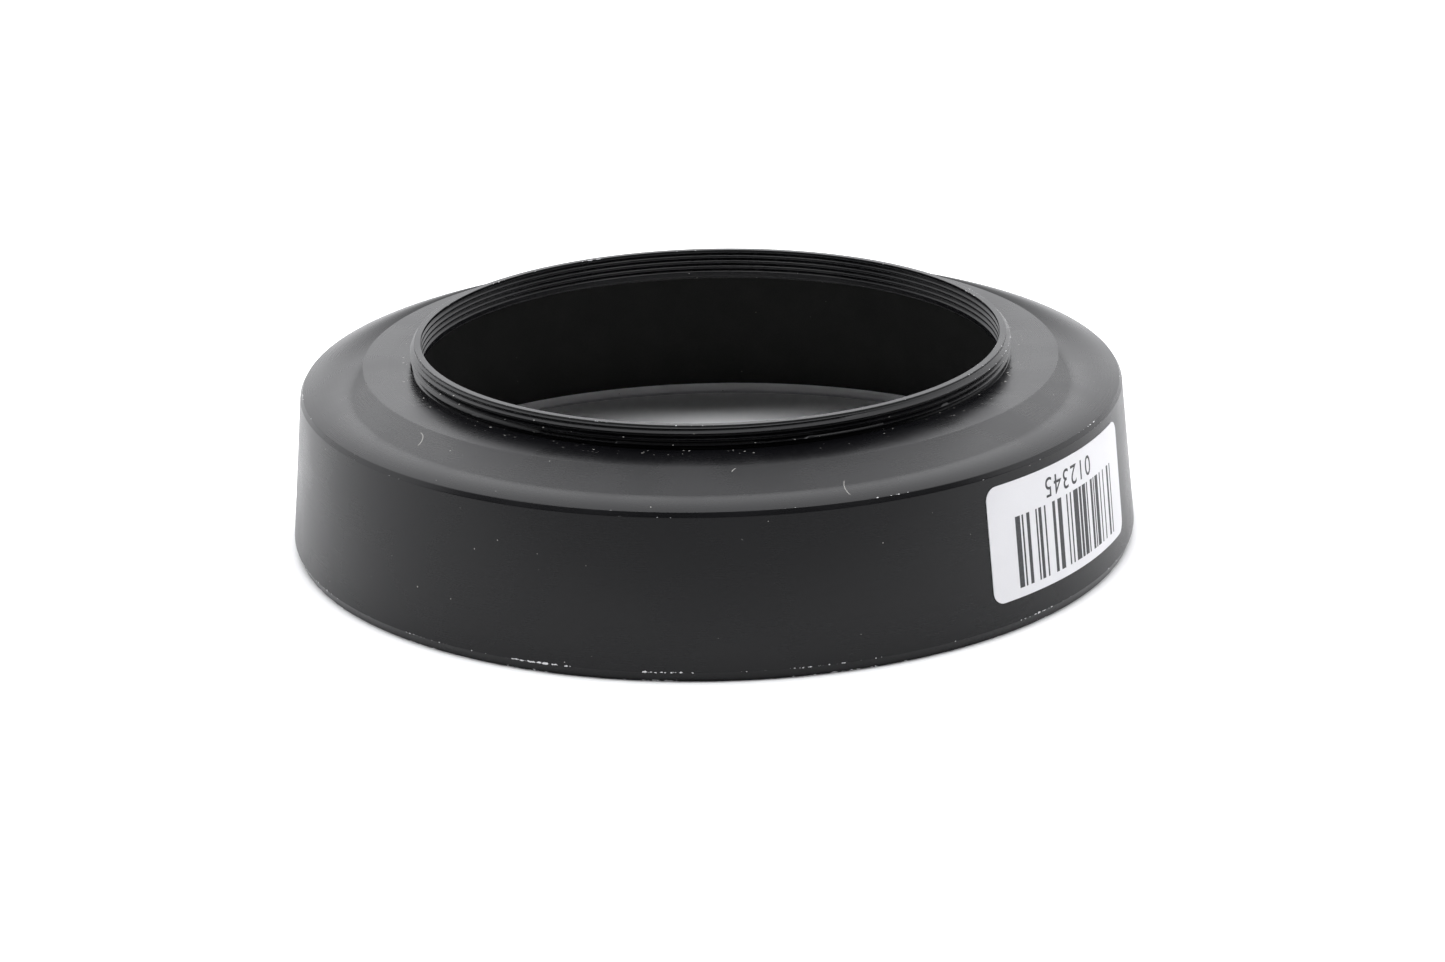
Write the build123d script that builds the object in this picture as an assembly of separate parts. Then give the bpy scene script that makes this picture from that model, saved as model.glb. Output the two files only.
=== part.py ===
from build123d import *
import os
from math import atan2, cos, pi, radians, sin, tan

# Screw-in wide-angle lens hood, standing on its wide front rim with the lens thread up.
# Origin: centre of the front rim plane. +Z: along the optical axis, towards the lens.
# Turned pieces are drawn as half sections of (radius, height) points and revolved about Z.

# ---- driving dimensions, mm ----
THREAD_D = 77.0             # major diameter of the male lens thread
PITCH = 0.75                # fine filter-thread pitch, right hand
THREAD_DEPTH = 0.46         # radial depth of the external thread
ROOT_FLAT = 0.1875          # width of the flat at the bottom of the thread groove
CREST_AT_FRONT = 25.2       # height of the last full crest where it crosses the -Y side
HOOD_H = 26.05              # front rim plane to the top of the thread collar
SHOULDER_H = 23.15          # height of the flat seat that meets the lens

BORE_R = 37.1               # clear radius of the collar
PILOT_R = 37.95             # plain start of the collar, inside the thread root
PILOT_H = 0.27
START_CHAMFER_H = 0.35      # height of the chamfer between the pilot and the first crest
RELIEF_H = 0.3              # plain neck between the thread and the seat
NECK_DEPTH = 0.05           # how far the neck is turned below the thread's root
GROOVE_COUNT = 4            # fine rings turned in the bore against stray light
GROOVE_DEPTH = 0.3
GROOVE_SHARE = 0.7          # width of each ring's V as a share of the pitch
BORE_CHAMFER = 0.25

FLANGE_R = 44.6             # outer radius of the mount ring's flange
FLANGE_T = 1.1
SKIRT_R = 41.2              # short skirt that centres the ring in the shell
SKIRT_H = 0.9
SKIRT_T = 1.2
BOND_GAP = 0.05             # radial room for the bonding compound

CONE_END_R = 52.4           # where the sloping top of the shell ends
CONE_END_H = 20.45
EDGE_BEVEL = 0.35           # small steep bevel between the cone and the wall, its width
EDGE_BEVEL_H = 0.55         # and its height
WALL_FOOT_R = 54.5          # widest radius of the flared wall
WALL_FOOT_H = 1.3
RIM_OUTER_R = 54.0          # outer edge of the front rim face
RIM_CHAMFER = 0.45          # inside edge of the front rim
WALL_T = 2.0                # shell wall
ROOF_T = 1.4                # shell thickness under the cone
LEDGE_T = 1.2               # shell ledge that carries the flange
LEDGE_OVERHANG = 0.6        # how far the ledge runs out under the cone

LINING_T = 0.4              # soft light-absorbing sleeve
LINING_FOOT_H = 1.75        # lowest edge of the sleeve; the bare lip is below it
LINING_HEAD_H = 18.2

LABEL_W = 30.8              # paper stock label, measured along the wall
LABEL_H = 14.5
LABEL_T = 0.12
LABEL_CORNER_R = 1.6
LABEL_MID_ANGLE = -35.8     # degrees about +Z from +X, centre of the label
LABEL_MID_H = 11.4          # height of its centre

CUTTER_ROOM = 0.1           # how far a cutter starts inside the open bore
OVERCUT = 0.015             # how far the thread cutter reaches past the crests
TURNS_BELOW_CREST = 3       # turns cut below the last full crest, into the neck
TURNS_IN_ALL = 4.5
# --------------------------------

THREAD_R = THREAD_D / 2
ROOT_R = THREAD_R - THREAD_DEPTH
WALL_TOP_R = CONE_END_R + EDGE_BEVEL
WALL_TOP_H = CONE_END_H - EDGE_BEVEL_H
SEAT_H = SHOULDER_H - FLANGE_T
WALL_SLOPE = atan2(WALL_FOOT_R - WALL_TOP_R, WALL_TOP_H - WALL_FOOT_H)
CONE_SLOPE = atan2(SHOULDER_H - CONE_END_H, CONE_END_R - FLANGE_R)


def turned(points):
    """Solid of revolution about Z from a closed half section of (radius, height) points.

    The section is drawn on the +Y side, so that its seam is away from the thread's start at +X.
    """
    outline = Polyline(*[(0, r, z) for r, z in points], close=True)
    return revolve(make_face(outline), axis=Axis.Z)


def one_solid(shape):
    """The single solid in a shape, so that each file holds one clean body."""
    solids = shape.solids()
    if len(solids) != 1:
        raise ValueError(f"expected one solid, got {len(solids)}")
    return solids[0]


def wall_outer_r(z):
    """Outer radius of the flared wall at height z."""
    return WALL_FOOT_R - (z - WALL_FOOT_H) * tan(WALL_SLOPE)


def wall_inner_r(z):
    """Inner radius of the shell wall at height z, parallel to the outside."""
    return wall_outer_r(z) - WALL_T


def make_thread_groove():
    """Helical 60 degree V groove, from above the collar down past the neck.

    Its mouth is narrower than the pitch, so that neighbouring turns of the cutter stay apart.
    """
    depth = THREAD_DEPTH + OVERCUT
    half_root = ROOT_FLAT / 2
    half_crest = half_root + depth * tan(radians(30))
    quarter_turn = PITCH / 4
    groove_at_x_axis = CREST_AT_FRONT - PITCH / 2 + quarter_turn
    start = groove_at_x_axis - TURNS_BELOW_CREST * PITCH
    length = TURNS_IN_ALL * PITCH
    path = Helix(pitch=PITCH, height=length, radius=ROOT_R, center=(0, 0, start))
    section_plane = Plane(origin=path @ 0, x_dir=(1, 0, 0), z_dir=path % 0)
    corners = [(0, -half_root), (depth, -half_crest), (depth, half_crest), (0, half_root)]
    section = make_face(section_plane * Polyline(*corners, close=True))
    return sweep(section, path=path, is_frenet=True)


def make_threaded_collar():
    """Collar above the seat: plain start, thread, and the neck under the thread."""
    thread_top = HOOD_H - PILOT_H
    thread_foot = SHOULDER_H + RELIEF_H
    neck_r = ROOT_R - NECK_DEPTH
    profile = [(BORE_R, SHOULDER_H), (neck_r, SHOULDER_H), (neck_r, thread_foot)]
    profile += [(THREAD_R, thread_foot + THREAD_DEPTH / 2)]
    profile += [(THREAD_R, thread_top - START_CHAMFER_H), (PILOT_R, thread_top)]
    profile += [(PILOT_R, HOOD_H), (BORE_R, HOOD_H)]
    blank = turned(profile)
    collar = blank - make_thread_groove()
    turns = (thread_top - START_CHAMFER_H - thread_foot) / PITCH
    groove_area = THREAD_DEPTH * (ROOT_FLAT + THREAD_DEPTH * tan(radians(30)))
    groove_volume = turns * groove_area * 2 * pi * (THREAD_R + ROOT_R) / 2
    if blank.volume - collar.volume < 0.8 * groove_volume:
        raise ValueError("the thread groove was not cut")
    return collar


def make_bore_ring(top):
    """Cutter for one V ring in the bore, with its upper edge at this height."""
    foot = top - PITCH * GROOVE_SHARE
    middle = (top + foot) / 2
    inside_r = BORE_R - CUTTER_ROOM
    points = [(inside_r, foot), (BORE_R, foot), (BORE_R + GROOVE_DEPTH, middle)]
    points += [(BORE_R, top), (inside_r, top)]
    return turned(points)


def make_mount_ring():
    """Threaded collar on its flange: the piece that screws into the lens."""
    rim_r = FLANGE_R - BOND_GAP
    skirt_r = SKIRT_R - BOND_GAP
    profile = [(BORE_R, SHOULDER_H), (rim_r, SHOULDER_H), (rim_r, SEAT_H)]
    profile += [(skirt_r, SEAT_H), (skirt_r, SEAT_H - SKIRT_H)]
    profile += [(skirt_r - SKIRT_T, SEAT_H - SKIRT_H), (skirt_r - SKIRT_T, SEAT_H)]
    profile += [(BORE_R + BORE_CHAMFER, SEAT_H), (BORE_R, SEAT_H + BORE_CHAMFER)]
    ring = turned(profile) + make_threaded_collar()
    highest = HOOD_H - PITCH / 2
    for index in range(GROOVE_COUNT):
        ring -= make_bore_ring(highest - index * PITCH)
    return one_solid(ring)


def make_hood_shell():
    """Flared shell: seat for the ring, cone, wall and front rim in one turning."""
    lip_r = wall_inner_r(LINING_FOOT_H)
    head_r = wall_inner_r(LINING_HEAD_H)
    roof_r = FLANGE_R + LEDGE_OVERHANG
    roof_drop = (roof_r - FLANGE_R) * tan(CONE_SLOPE) + ROOF_T / cos(CONE_SLOPE)
    roof_h = min(SHOULDER_H - roof_drop, SEAT_H - LEDGE_T)
    profile = [(FLANGE_R, SHOULDER_H), (CONE_END_R, CONE_END_H), (WALL_TOP_R, WALL_TOP_H)]
    profile += [(WALL_FOOT_R, WALL_FOOT_H), (RIM_OUTER_R, 0), (lip_r + RIM_CHAMFER, 0)]
    profile += [(lip_r, RIM_CHAMFER), (lip_r, LINING_FOOT_H), (head_r, LINING_HEAD_H)]
    profile += [(roof_r, roof_h), (SKIRT_R, roof_h), (SKIRT_R, SEAT_H), (FLANGE_R, SEAT_H)]
    return one_solid(turned(profile))


def make_matte_lining():
    """Thin soft sleeve bonded inside the wall, from under the roof down to the lip."""
    head_r = wall_inner_r(LINING_HEAD_H)
    foot_r = wall_inner_r(LINING_FOOT_H)
    profile = [(head_r, LINING_HEAD_H), (foot_r, LINING_FOOT_H)]
    profile += [(foot_r - LINING_T, LINING_FOOT_H), (head_r - LINING_T, LINING_HEAD_H)]
    return one_solid(turned(profile))


def make_stock_label():
    """Rounded paper label wrapped on the flared wall, a thin skin cut by a flat prism."""
    top = LABEL_MID_H + LABEL_H / 2 + 1
    foot = LABEL_MID_H - LABEL_H / 2 - 1
    skin = [(wall_outer_r(top), top), (wall_outer_r(foot), foot)]
    skin += [(wall_outer_r(foot) + LABEL_T, foot), (wall_outer_r(top) + LABEL_T, top)]
    mid_r = wall_outer_r(LABEL_MID_H)
    chord = 2 * mid_r * sin(LABEL_W / 2 / mid_r)
    face_plane = Plane(origin=(0, 0, LABEL_MID_H), x_dir=(0, 1, 0), z_dir=(1, 0, 0))
    outline = face_plane * RectangleRounded(chord, LABEL_H, LABEL_CORNER_R)
    prism = extrude(outline, amount=WALL_FOOT_R + 2)
    label = one_solid(turned(skin) & prism)
    return label.rotate(Axis.Z, LABEL_MID_ANGLE)


os.makedirs("parts", exist_ok=True)
pieces = {
    "mount_ring": make_mount_ring(),
    "hood_shell": make_hood_shell(),
    "matte_lining": make_matte_lining(),
    "stock_label": make_stock_label(),
}
for node, shape in pieces.items():
    shape.label = node
    export_step(shape, f"parts/{node}.step")
    print(node, f"volume {shape.volume:.1f} mm3")
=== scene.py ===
import math

import bmesh
import bpy
from bpy.props import FloatProperty, FloatVectorProperty, IntProperty, PointerProperty, StringProperty
from mathutils import Euler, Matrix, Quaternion, Vector


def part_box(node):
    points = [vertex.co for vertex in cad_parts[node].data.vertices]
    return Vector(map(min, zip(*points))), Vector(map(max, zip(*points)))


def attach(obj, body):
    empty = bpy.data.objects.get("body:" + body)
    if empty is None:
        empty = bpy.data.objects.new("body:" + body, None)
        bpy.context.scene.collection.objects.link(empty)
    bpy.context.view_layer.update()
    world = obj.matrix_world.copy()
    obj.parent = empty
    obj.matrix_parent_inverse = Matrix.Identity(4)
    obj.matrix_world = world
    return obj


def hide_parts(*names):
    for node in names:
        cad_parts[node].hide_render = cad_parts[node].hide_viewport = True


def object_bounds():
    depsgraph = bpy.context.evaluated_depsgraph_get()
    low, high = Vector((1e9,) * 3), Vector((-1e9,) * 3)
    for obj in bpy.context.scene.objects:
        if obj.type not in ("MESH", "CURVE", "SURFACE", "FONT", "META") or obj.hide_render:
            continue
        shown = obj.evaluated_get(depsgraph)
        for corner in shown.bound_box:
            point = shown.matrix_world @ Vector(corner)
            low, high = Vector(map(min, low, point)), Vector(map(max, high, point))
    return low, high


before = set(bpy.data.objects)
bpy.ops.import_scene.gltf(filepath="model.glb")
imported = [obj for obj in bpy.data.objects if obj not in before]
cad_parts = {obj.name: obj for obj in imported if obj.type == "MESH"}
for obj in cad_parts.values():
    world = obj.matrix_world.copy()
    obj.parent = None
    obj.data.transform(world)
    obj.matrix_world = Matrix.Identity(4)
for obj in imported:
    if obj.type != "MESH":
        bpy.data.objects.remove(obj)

bl_info = {
    "name": "Screw-in lens hood",
    "version": (1, 0, 0),
    "blender": (4, 5, 0),
    "location": "View3D > Sidebar > Lens Hood",
    "description": "Turned shell, threaded ring, matte sleeve and stock label of a lens hood",
    "category": "Object",
}

MM = 0.001
CAD_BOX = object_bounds()
SHELL_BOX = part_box("hood_shell")
RING_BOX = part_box("mount_ring")
SLEEVE_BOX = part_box("matte_lining")
LABEL_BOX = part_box("stock_label")

ROOT_BODY = "root"
MERGE_STEP = 2e-6           # metres, the closest two separate points of a piece may be
SMOOTH_BELOW = math.radians(28)
BREAK_ABOVE = math.radians(14)
EDGE_REACH = 0.03 * MM      # how near an edge's middle is to the circle it belongs to


# ---- what a user would change -------------------------------------------------------


def length(name, description, default):
    """A length in metres, as a slider with a unit."""
    return FloatProperty(
        name=name, description=description, default=default, unit="LENGTH", precision=5
    )


def share(name, description, default):
    """A factor from 0 to 1."""
    return FloatProperty(
        name=name, description=description, default=default, min=0, max=1, subtype="FACTOR"
    )


def colour(name, description, default):
    """A linear colour."""
    return FloatVectorProperty(
        name=name, description=description, default=default, size=3, min=0, max=1, subtype="COLOR"
    )


class HoodShellSettings(bpy.types.PropertyGroup):
    seat_radius: length("Seat radius", "Outer edge of the flat seat", RING_BOX[1].x + 0.05 * MM)
    seat_height: length("Seat height", "Height of the flat seat", SHELL_BOX[1].z)
    cone_radius: length("Cone radius", "Where the sloping top ends", 52.4 * MM)
    cone_height: length("Cone height", "Height of the cone's outer edge", 20.45 * MM)
    edge_bevel: length("Edge bevel", "Width of the bevel between cone and wall", 0.35 * MM)
    bevel_height: length("Bevel height", "Height of that bevel", 0.55 * MM)
    foot_radius: length("Foot radius", "Widest radius of the flared wall", SHELL_BOX[1].x)
    foot_height: length("Foot height", "Height of the widest radius", 1.3 * MM)
    rim_radius: length("Rim radius", "Outer edge of the front rim face", 54.0 * MM)
    rim_chamfer: length("Rim chamfer", "Inside edge of the front rim", 0.45 * MM)
    lip_height: length("Lip height", "Top of the bare band inside the rim", SLEEVE_BOX[0].z)
    wall: length("Wall", "Thickness of the flared wall", 2.0 * MM)
    roof: length("Roof", "Thickness under the cone", 1.4 * MM)
    ledge: length("Ledge", "Thickness of the ledge that carries the ring", 1.2 * MM)
    ledge_overhang: length("Ledge overhang", "How far the ledge runs under the cone", 0.6 * MM)
    socket_radius: length("Socket radius", "Opening that the ring's skirt drops into", 41.2 * MM)
    segments: IntProperty(name="Segments", description="Facets round each turning", default=288)
    edge_break: length("Edge break", "Width of the small rounding on turned edges", 0.07 * MM)


class MountRingSettings(bpy.types.PropertyGroup):
    bore_radius: length("Bore radius", "Clear radius of the collar", 37.1 * MM)
    pilot_radius: length("Pilot radius", "Plain start of the collar", 37.95 * MM)
    pilot_height: length("Pilot height", "Height of the plain start", 0.27 * MM)
    start_chamfer: length("Start chamfer", "Height of the chamfer above the thread", 0.35 * MM)
    thread_radius: length("Thread radius", "Radius of the thread crests", 38.5 * MM)
    thread_depth: length("Thread depth", "Radial depth of the thread", 0.46 * MM)
    pitch: length("Pitch", "Distance between neighbouring crests", 0.75 * MM)
    front_crest: length("Front crest", "Height of the last full crest at the front", 25.2 * MM)
    relief: length("Relief", "Plain neck between the thread and the seat", 0.3 * MM)
    bore_rings: IntProperty(name="Bore rings", description="Fine rings turned in the bore", default=4)
    ring_depth: length("Ring depth", "Depth of each bore ring", 0.3 * MM)
    flange: length("Flange", "Thickness of the ring's flange", 1.1 * MM)
    skirt_outer: length("Skirt outside", "Outer radius of the centring skirt", 41.15 * MM)
    skirt_inner: length("Skirt inside", "Inner radius of the centring skirt", 39.95 * MM)
    bore_chamfer: length("Bore chamfer", "Chamfer at the bottom of the bore", 0.25 * MM)
    ring_share: share("Ring share", "Width of a bore ring as a share of the pitch", 0.7)


class AnodisedFinishSettings(bpy.types.PropertyGroup):
    black: colour("Black", "Dyed anodised surface", (0.0031, 0.0031, 0.0038))
    bare_metal: colour("Bare metal", "Aluminium where the finish is gone", (0.78, 0.78, 0.79))
    satin: share("Satin", "Roughness of the sound finish", 0.25)
    wear: share("Wear", "How much of the edges is chipped", 0.5)
    dust: share("Dust", "How many specks have settled", 0.5)


class SleeveSettings(bpy.types.PropertyGroup):
    thickness: length("Thickness", "Thickness of the sleeve", 0.4 * MM)
    black: colour("Black", "Light-absorbing surface", (0.014, 0.014, 0.0137))


class StockLabelSettings(bpy.types.PropertyGroup):
    width: length("Width", "Width measured along the wall", 30.8 * MM)
    height: length("Height", "Height of the label", 14.5 * MM)
    corner: length("Corner", "Corner radius", 1.6 * MM)
    thickness: length("Thickness", "Thickness of the paper", 0.12 * MM)
    mid_height: length("Middle height", "Height of the label's centre", 11.4 * MM)
    mid_angle: FloatProperty(
        name="Middle angle",
        description="Where the label's centre is, about the axis from +X",
        default=math.radians(-35.8),
        subtype="ANGLE",
    )
    digits: StringProperty(name="Digits", description="Generic stock digits", default="012345")
    paper: colour("Paper", "Coated white paper", (0.82, 0.815, 0.835))
    ink: colour("Ink", "Printed grey-black", (0.045, 0.045, 0.048))


class StageSettings(bpy.types.PropertyGroup):
    focal_length: FloatProperty(
        name="Focal length", description="Lens of the camera, mm", default=89.69, unit="CAMERA"
    )
    distance: length("Distance", "From the camera to the object's middle", 466.5 * MM)
    elevation: FloatProperty(
        name="Elevation",
        description="Camera height above the horizon",
        default=math.radians(18.798),
        subtype="ANGLE",
    )
    roll: FloatProperty(
        name="Roll", description="Tilt of the camera", default=math.radians(1.304), subtype="ANGLE"
    )
    aim_height: length("Aim height", "Height of the point the camera looks at", 13.475 * MM)
    shift_right: share("Shift right", "Sideways lens shift, as a share of the width", 0.00727)
    shift_down: share("Shift down", "Downward lens shift, as a share of the width", 0.0404)
    sky: FloatProperty(name="Sky", description="Brightness of the white surround", default=1.8)
    dark_side: FloatProperty(name="Dark side", description="Brightness behind the camera", default=0.15)
    softbox: FloatProperty(name="Softbox", description="Extra brightness overhead", default=5.0)
    softbox_near: FloatProperty(
        name="Softbox near edge",
        description="From the zenith to the softbox's edge on the camera's side",
        default=math.radians(22),
        subtype="ANGLE",
    )
    softbox_half_width: FloatProperty(
        name="Softbox half width",
        description="From the zenith to the softbox's ends, left and right",
        default=math.radians(33),
        subtype="ANGLE",
    )
    # strength of the painted glow that camera rays see on the floor outside the rim
    floor_lift: FloatProperty(name="Floor glow", description="How far the floor is lifted", default=0.6)


class LensHoodSettings(bpy.types.PropertyGroup):
    shell: PointerProperty(type=HoodShellSettings, name="Shell", description="Turned shell")
    ring: PointerProperty(type=MountRingSettings, name="Ring", description="Threaded ring")
    finish: PointerProperty(type=AnodisedFinishSettings, name="Finish", description="Anodising")
    sleeve: PointerProperty(type=SleeveSettings, name="Sleeve", description="Matte sleeve")
    label: PointerProperty(type=StockLabelSettings, name="Label", description="Stock label")
    stage: PointerProperty(type=StageSettings, name="Stage", description="Floor, light, camera")


def wall_flare(shell):
    """How much radius the flared wall loses for each metre of height."""
    top_radius = shell.cone_radius + shell.edge_bevel
    top_height = shell.cone_height - shell.bevel_height
    return (shell.foot_radius - top_radius) / (top_height - shell.foot_height)


# ---- modelling by hand --------------------------------------------------------------


def select_only(piece):
    """Makes one object the only selected and active one."""
    bpy.ops.object.select_all(action="DESELECT")
    piece.select_set(True)
    bpy.context.view_layer.objects.active = piece


def draw_outline(name, points):
    """Wire loop in the plane of X and Z, drawn by extruding one vertex from point to point."""
    bpy.ops.object.select_all(action="DESELECT")
    first_x, first_z = points[0]
    bpy.ops.mesh.primitive_plane_add(size=MM, enter_editmode=True, location=(first_x, 0, first_z))
    bpy.ops.mesh.merge(type="CENTER")
    for (x, z), (next_x, next_z) in zip(points, points[1:] + points[:1]):
        step = (next_x - x, 0, next_z - z)
        bpy.ops.mesh.extrude_vertices_move(TRANSFORM_OT_translate={"value": step})
    bpy.ops.mesh.select_all(action="SELECT")
    bpy.ops.mesh.remove_doubles(threshold=MERGE_STEP)
    bpy.ops.object.mode_set(mode="OBJECT")
    piece = bpy.context.object
    piece.name = name
    piece.data.name = name
    bpy.ops.object.transform_apply(location=True, rotation=True, scale=True)
    return piece


def close_and_orient(piece):
    """Merges doubles and turns every face outwards."""
    select_only(piece)
    bpy.ops.object.mode_set(mode="EDIT")
    bpy.ops.mesh.select_all(action="SELECT")
    bpy.ops.mesh.remove_doubles(threshold=MERGE_STEP)
    bpy.ops.mesh.normals_make_consistent(inside=False)
    bpy.ops.object.mode_set(mode="OBJECT")


def turn_on_lathe(name, section, segments):
    """Closed solid of revolution about Z from (radius, height) points."""
    piece = draw_outline(name, section)
    bpy.ops.object.mode_set(mode="EDIT")
    bpy.ops.mesh.select_all(action="SELECT")
    bpy.ops.mesh.spin(steps=segments, angle=2 * math.pi, center=(0, 0, 0), axis=(0, 0, 1))
    bpy.ops.object.mode_set(mode="OBJECT")
    close_and_orient(piece)
    return piece


def apply_modifier(piece, kind, **settings):
    """Adds a modifier with these settings and applies it."""
    select_only(piece)
    modifier = piece.modifiers.new(kind.title(), kind)
    for name, value in settings.items():
        setattr(modifier, name, value)
    bpy.ops.object.modifier_apply(modifier=modifier.name)


def break_edges(piece, width, keep_sharp=()):
    """Rounds the turned edges a little, except on the (radius, height) circles in keep_sharp."""
    select_only(piece)
    bpy.ops.object.shade_smooth()
    shape = bmesh.new()
    shape.from_mesh(piece.data)
    weight = shape.edges.layers.float.new("bevel_weight_edge")
    for edge in shape.edges:
        middle = (edge.verts[0].co + edge.verts[1].co) / 2
        place = Vector((math.hypot(middle.x, middle.y), middle.z))
        kept = any((place - Vector(circle)).length < EDGE_REACH for circle in keep_sharp)
        edge[weight] = float(not kept and edge.calc_face_angle(0) > BREAK_ABOVE)
    shape.to_mesh(piece.data)
    shape.free()
    apply_modifier(
        piece, "BEVEL", width=width, segments=2, limit_method="WEIGHT", harden_normals=True
    )


def smooth_by_angle(piece):
    """Smooth shading that keeps real corners sharp and broad faces even."""
    select_only(piece)
    bpy.ops.object.shade_smooth_by_angle(angle=SMOOTH_BELOW)
    apply_modifier(piece, "WEIGHTED_NORMAL", keep_sharp=True, weight=80)


def finish_piece(piece, material, slot, *nodes):
    """Gives a piece its material and its body and hides the nodes it stands for; slot is not used."""
    piece.data.materials.clear()
    piece.data.materials.append(material)
    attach(piece, ROOT_BODY)
    if nodes:
        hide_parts(*nodes)


# ---- node helpers -------------------------------------------------------------------


def feed(tree, socket, value):
    """Links a socket to another, or sets its value."""
    if isinstance(value, bpy.types.NodeSocket):
        tree.links.new(value, socket)
    elif value is not None:
        socket.default_value = value


def calculate(tree, operation, *values):
    """One Math node; returns its output."""
    node = tree.nodes.new("ShaderNodeMath")
    node.operation = operation
    for socket, value in zip(node.inputs, values):
        feed(tree, socket, value)
    return node.outputs[0]


def remap(tree, value, from_low, from_high, to_low=0.0, to_high=1.0, smooth=False):
    """One Map Range node, clamped; returns its output."""
    node = tree.nodes.new("ShaderNodeMapRange")
    node.interpolation_type = "SMOOTHSTEP" if smooth else "LINEAR"
    for socket, setting in zip(node.inputs, (value, from_low, from_high, to_low, to_high)):
        feed(tree, socket, setting)
    return node.outputs[0]


def mix_colour(tree, factor, first, second):
    """One colour Mix node; returns its output."""
    node = tree.nodes.new("ShaderNodeMix")
    node.data_type = "RGBA"
    feed(tree, node.inputs[0], factor)
    feed(tree, node.inputs[6], first if isinstance(first, bpy.types.NodeSocket) else (*first, 1))
    feed(tree, node.inputs[7], second if isinstance(second, bpy.types.NodeSocket) else (*second, 1))
    return node.outputs[2]


def mix_value(tree, factor, first, second):
    """One float Mix node; returns its output."""
    node = tree.nodes.new("ShaderNodeMix")
    for socket, value in zip((node.inputs[0], node.inputs[2], node.inputs[3]), (factor, first, second)):
        feed(tree, socket, value)
    return node.outputs[0]


def noise(tree, vector, scale, detail=2.0, roughness=0.5):
    """One Noise Texture; returns its value output."""
    node = tree.nodes.new("ShaderNodeTexNoise")
    feed(tree, node.inputs["Vector"], vector)
    feed(tree, node.inputs["Scale"], scale)
    node.inputs["Detail"].default_value = detail
    node.inputs["Roughness"].default_value = roughness
    return node.outputs[0]


def new_group(name, inputs, outputs):
    """An empty shader node group with float or vector inputs and float outputs."""
    tree = bpy.data.node_groups.new(name, "ShaderNodeTree")
    for label, value in inputs.items():
        kind = "NodeSocketVector" if value is None else "NodeSocketFloat"
        socket = tree.interface.new_socket(label, in_out="INPUT", socket_type=kind)
        if value is not None:
            socket.default_value = value
    for label, kind in outputs.items():
        tree.interface.new_socket(label, in_out="OUTPUT", socket_type=kind)
    return tree, tree.nodes.new("NodeGroupInput").outputs, tree.nodes.new("NodeGroupOutput").inputs


def place_group(tree, group, **values):
    """Places a node group in a material; keyword names use _ for spaces. Returns its outputs."""
    node = tree.nodes.new("ShaderNodeGroup")
    node.node_tree = group
    for name, value in values.items():
        feed(tree, node.inputs[name.replace("_", " ").title()], value)
    return node.outputs


def lathe_position_group():
    """Radius and height in millimetres from Object coordinates in metres."""
    tree, given, made = new_group(
        "lathe_position",
        {"Vector": None},
        {"Radius": "NodeSocketFloat", "Height": "NodeSocketFloat", "Position": "NodeSocketVector"},
    )
    scaled = tree.nodes.new("ShaderNodeVectorMath")
    scaled.operation = "SCALE"
    scaled.inputs["Scale"].default_value = 1 / MM
    feed(tree, scaled.inputs[0], given["Vector"])
    axes = tree.nodes.new("ShaderNodeSeparateXYZ")
    feed(tree, axes.inputs[0], scaled.outputs[0])
    x_square = calculate(tree, "POWER", axes.outputs[0], 2.0)
    y_square = calculate(tree, "POWER", axes.outputs[1], 2.0)
    square = calculate(tree, "ADD", x_square, y_square)
    feed(tree, made["Radius"], calculate(tree, "SQRT", square))
    feed(tree, made["Height"], axes.outputs[2])
    feed(tree, made["Position"], scaled.outputs[0])
    return tree


def turning_marks_group():
    """Fine rings left by the cutting tool, the same all the way round."""
    tree, given, made = new_group(
        "turning_marks", {"Radius": 0.0, "Height": 0.0, "Spacing": 0.1}, {"Lines": "NodeSocketFloat"}
    )
    joined = tree.nodes.new("ShaderNodeCombineXYZ")
    feed(tree, joined.inputs[0], calculate(tree, "DIVIDE", given["Radius"], given["Spacing"]))
    feed(tree, joined.inputs[1], calculate(tree, "DIVIDE", given["Height"], given["Spacing"]))
    feed(tree, made["Lines"], noise(tree, joined.outputs[0], 1.0, detail=3.0, roughness=0.65))
    return tree


def worn_edge_group():
    """Mask of chips along one turned edge, wide where the coarse noise is high."""
    tree, given, made = new_group(
        "worn_edge",
        {
            "Position": None,
            "Radius": 0.0,
            "Height": 0.0,
            "Edge Radius": 0.0,
            "Edge Height": 0.0,
            "Reach": 0.2,
            "Coverage": 0.5,
            "Grain": 0.5,
        },
        {"Mask": "NodeSocketFloat"},
    )
    out = calculate(tree, "SUBTRACT", given["Radius"], given["Edge Radius"])
    up = calculate(tree, "SUBTRACT", given["Height"], given["Edge Height"])
    square = calculate(
        tree, "ADD", calculate(tree, "MULTIPLY", out, out), calculate(tree, "MULTIPLY", up, up)
    )
    distance = calculate(tree, "SQRT", square)
    fine = noise(tree, given["Position"], calculate(tree, "DIVIDE", 1.0, given["Grain"]), detail=3.0)
    patches = noise(tree, given["Position"], 0.16, detail=2.0, roughness=0.6)
    both = calculate(tree, "ADD", fine, calculate(tree, "MULTIPLY", patches, 0.9))
    lowest = calculate(tree, "SUBTRACT", 1.28, calculate(tree, "MULTIPLY", given["Coverage"], 0.5))
    amount = remap(tree, both, lowest, calculate(tree, "ADD", lowest, 0.22))
    width = calculate(tree, "MULTIPLY", amount, given["Reach"])
    left = calculate(tree, "SUBTRACT", width, distance)
    feed(tree, made["Mask"], remap(tree, left, 0.0, 0.02))
    return tree


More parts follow.
